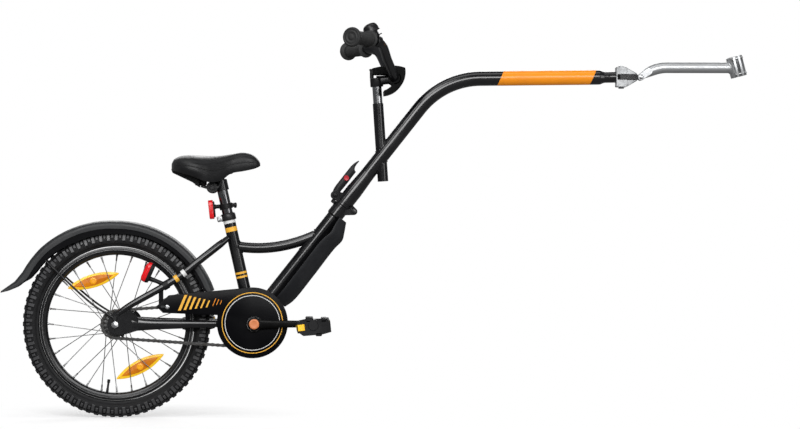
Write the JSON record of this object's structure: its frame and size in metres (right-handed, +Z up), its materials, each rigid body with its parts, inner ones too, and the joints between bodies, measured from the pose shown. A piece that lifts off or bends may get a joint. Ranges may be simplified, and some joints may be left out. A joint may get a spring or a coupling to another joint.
{
  "type": "trailer bike",
  "caption": "One-wheel child's trailer bike that clamps to a towing bicycle's seat post, with a hinged tow bar, pedals, saddle and handlebar.",
  "frame": {"origin": "centre of the seat-post clamp's bore, on the middle plane of the bike", "axes": "+X forward along the line of travel, +Y to the rider's left, +Z up; the wheel stands on a level floor 0.842 m below the origin"},
  "size_m": [1.7929, 0.5606, 0.9371],
  "materials": {
    "silver_steel": "silver, satin",
    "zinc": "zinc plated, satin",
    "black_steel": "black, satin",
    "cast_yoke": "cast, matt",
    "black_gloss": "black, gloss",
    "black_plastic": "black, matt",
    "red_plastic": "red, satin",
    "orange_plastic": "orange, satin",
    "grey_plastic": "dark grey, matt",
    "grip_rubber": "black, ribbed",
    "pad_fabric": "black, stitched cover over foam",
    "tyre": "black, knobbed",
    "black_rim": "black anodised",
    "raw_steel": "plain steel, satin",
    "amber_lens": "amber, prismatic",
    "red_lens": "red, prismatic",
    "saddle_vinyl": "black vinyl over foam"
  },
  "bodies": {
    "hitch": {"hitch_arm": "silver_steel", "clamp_cap": "silver_steel", "clamp_bolt_upper_right": "zinc", "clamp_bolt_upper_left": "zinc", "clamp_bolt_lower_right": "zinc", "clamp_bolt_lower_left": "zinc", "pitch_pin": "zinc"},
    "tongue": {"hitch_tongue": "black_steel"},
    "tow_bar": {"tow_bar": "black_gloss", "hitch_yoke": "cast_yoke", "king_pin": "zinc"},
    "latch_lever": {"latch_lever": "black_plastic"},
    "latch_button": {"latch_button": "red_plastic"},
    "stem": {"stem": "black_gloss"},
    "handlebar": {"handlebar": "black_gloss", "grip_right": "grip_rubber", "grip_left": "grip_rubber", "handlebar_pad": "pad_fabric", "bell": "black_steel"},
    "bell_striker": {"bell_striker": "black_plastic"},
    "frame": {"down_tube": "black_gloss", "hinge_pin": "zinc", "seat_tube": "black_gloss", "top_tube": "black_gloss", "seat_stay_right": "black_gloss", "seat_stay_left": "black_gloss", "chainstay_right": "black_gloss", "chainstay_left": "black_gloss", "bottom_bracket_unit": "raw_steel", "rear_axle": "zinc", "seat_collar": "silver_steel", "chain_guard": "black_plastic", "mudguard": "grey_plastic", "mudguard_stay": "black_steel", "lamp_housing": "black_plastic", "lamp_lens": "red_lens", "splash_guard": "grey_plastic", "chain": "raw_steel"},
    "wheel": {"tyre": "tyre", "rim": "black_rim", "hub_shell": "black_steel", "spokes_right": "raw_steel", "spokes_left": "raw_steel", "wheel_reflector_upper": "amber_lens", "wheel_reflector_lower": "amber_lens"},
    "sprocket": {"sprocket": "raw_steel"},
    "crank": {"crank_axle": "raw_steel", "chainring": "raw_steel", "crank_right": "black_gloss", "crank_left": "black_gloss", "crank_cap": "orange_plastic"},
    "pedal_right": {"pedal_right": "black_plastic"},
    "pedal_left": {"pedal_left": "black_plastic"},
    "seat_post": {"seat_post": "black_gloss", "reflector_bracket": "black_plastic", "reflector_lens": "red_lens", "saddle_clamp": "black_steel"},
    "saddle": {"saddle_rails": "black_steel", "saddle_base": "black_plastic", "saddle_cover": "saddle_vinyl"}
  },
  "joints": [
    {"name": "hitch_pitch", "type": "hinge", "parent": "hitch", "child": "tongue", "pos_m": [-0.23244, 0, -0.02581], "axis": [0, 1, 0], "range_deg": [-30, 30]},
    {"name": "hitch_yaw", "type": "hinge", "parent": "tongue", "child": "tow_bar", "pos_m": [-0.27944, 0, -0.02581], "axis": [0, 0, 1], "range_deg": [-60, 60]},
    {"name": "tow_bar_fold", "type": "hinge", "parent": "tow_bar", "child": "frame", "pos_m": [-0.92474, 0, -0.35008], "axis": [0, -1, 0], "range_deg": [0, 130]},
    {"name": "latch_turn", "type": "hinge", "parent": "tow_bar", "child": "latch_lever", "pos_m": [-0.96997, 0, -0.31054], "axis": [0, -1, 0], "range_deg": [0, 100]},
    {"name": "latch_button_push", "type": "slide", "parent": "latch_lever", "child": "latch_button", "axis": [0, 1, 0], "range_m": [0, 0.0015], "stiffness_N_per_m": 400, "springref_m": -0.001},
    {"name": "stem_height", "type": "slide", "parent": "tow_bar", "child": "stem", "axis": [-0.0645, 0, 0.9979], "range_m": [-0.035, 0.04]},
    {"name": "handlebar_tilt", "type": "hinge", "parent": "stem", "child": "handlebar", "pos_m": [-0.82699, 0, -0.03109], "axis": [0, 1, 0], "range_deg": [-4, 4]},
    {"name": "striker_turn", "type": "hinge", "parent": "handlebar", "child": "bell_striker", "pos_m": [-0.86886, -0.15957, 0.06451], "axis": [-0.454, 0, 0.891], "range_deg": [0, 12], "stiffness_Nm_per_rad": 0.05, "springref_deg": -5.73},
    {"name": "wheel_spin", "type": "hinge", "parent": "frame", "child": "wheel", "pos_m": [-1.49279, 0, -0.61882], "axis": [0, 1, 0], "continuous": true},
    {"name": "crank_spin", "type": "hinge", "parent": "frame", "child": "crank", "pos_m": [-1.16279, 0, -0.61762], "axis": [0, 1, 0], "continuous": true, "deforming": ["chain"]},
    {"name": "sprocket_spin", "type": "hinge", "parent": "frame", "child": "sprocket", "pos_m": [-1.49279, 0, -0.61882], "axis": [0, 1, 0], "continuous": true},
    {"name": "pedal_right_spin", "type": "hinge", "parent": "crank", "child": "pedal_right", "pos_m": [-1.02279, 0, -0.61762], "axis": [0, 1, 0], "continuous": true},
    {"name": "pedal_left_spin", "type": "hinge", "parent": "crank", "child": "pedal_left", "pos_m": [-1.30279, 0, -0.61762], "axis": [0, 1, 0], "continuous": true},
    {"name": "seat_height", "type": "slide", "parent": "frame", "child": "seat_post", "axis": [-0.2199, 0, 0.9755], "range_m": [-0.009, 0.04]},
    {"name": "saddle_tilt", "type": "hinge", "parent": "seat_post", "child": "saddle", "pos_m": [-1.26349, 0, -0.29207], "axis": [0, 1, 0], "range_deg": [-12, 12]}
  ],
  "couplings": [
    {"joint": "sprocket_spin", "follows": "crank_spin", "ratio": 1.75}
  ]
}
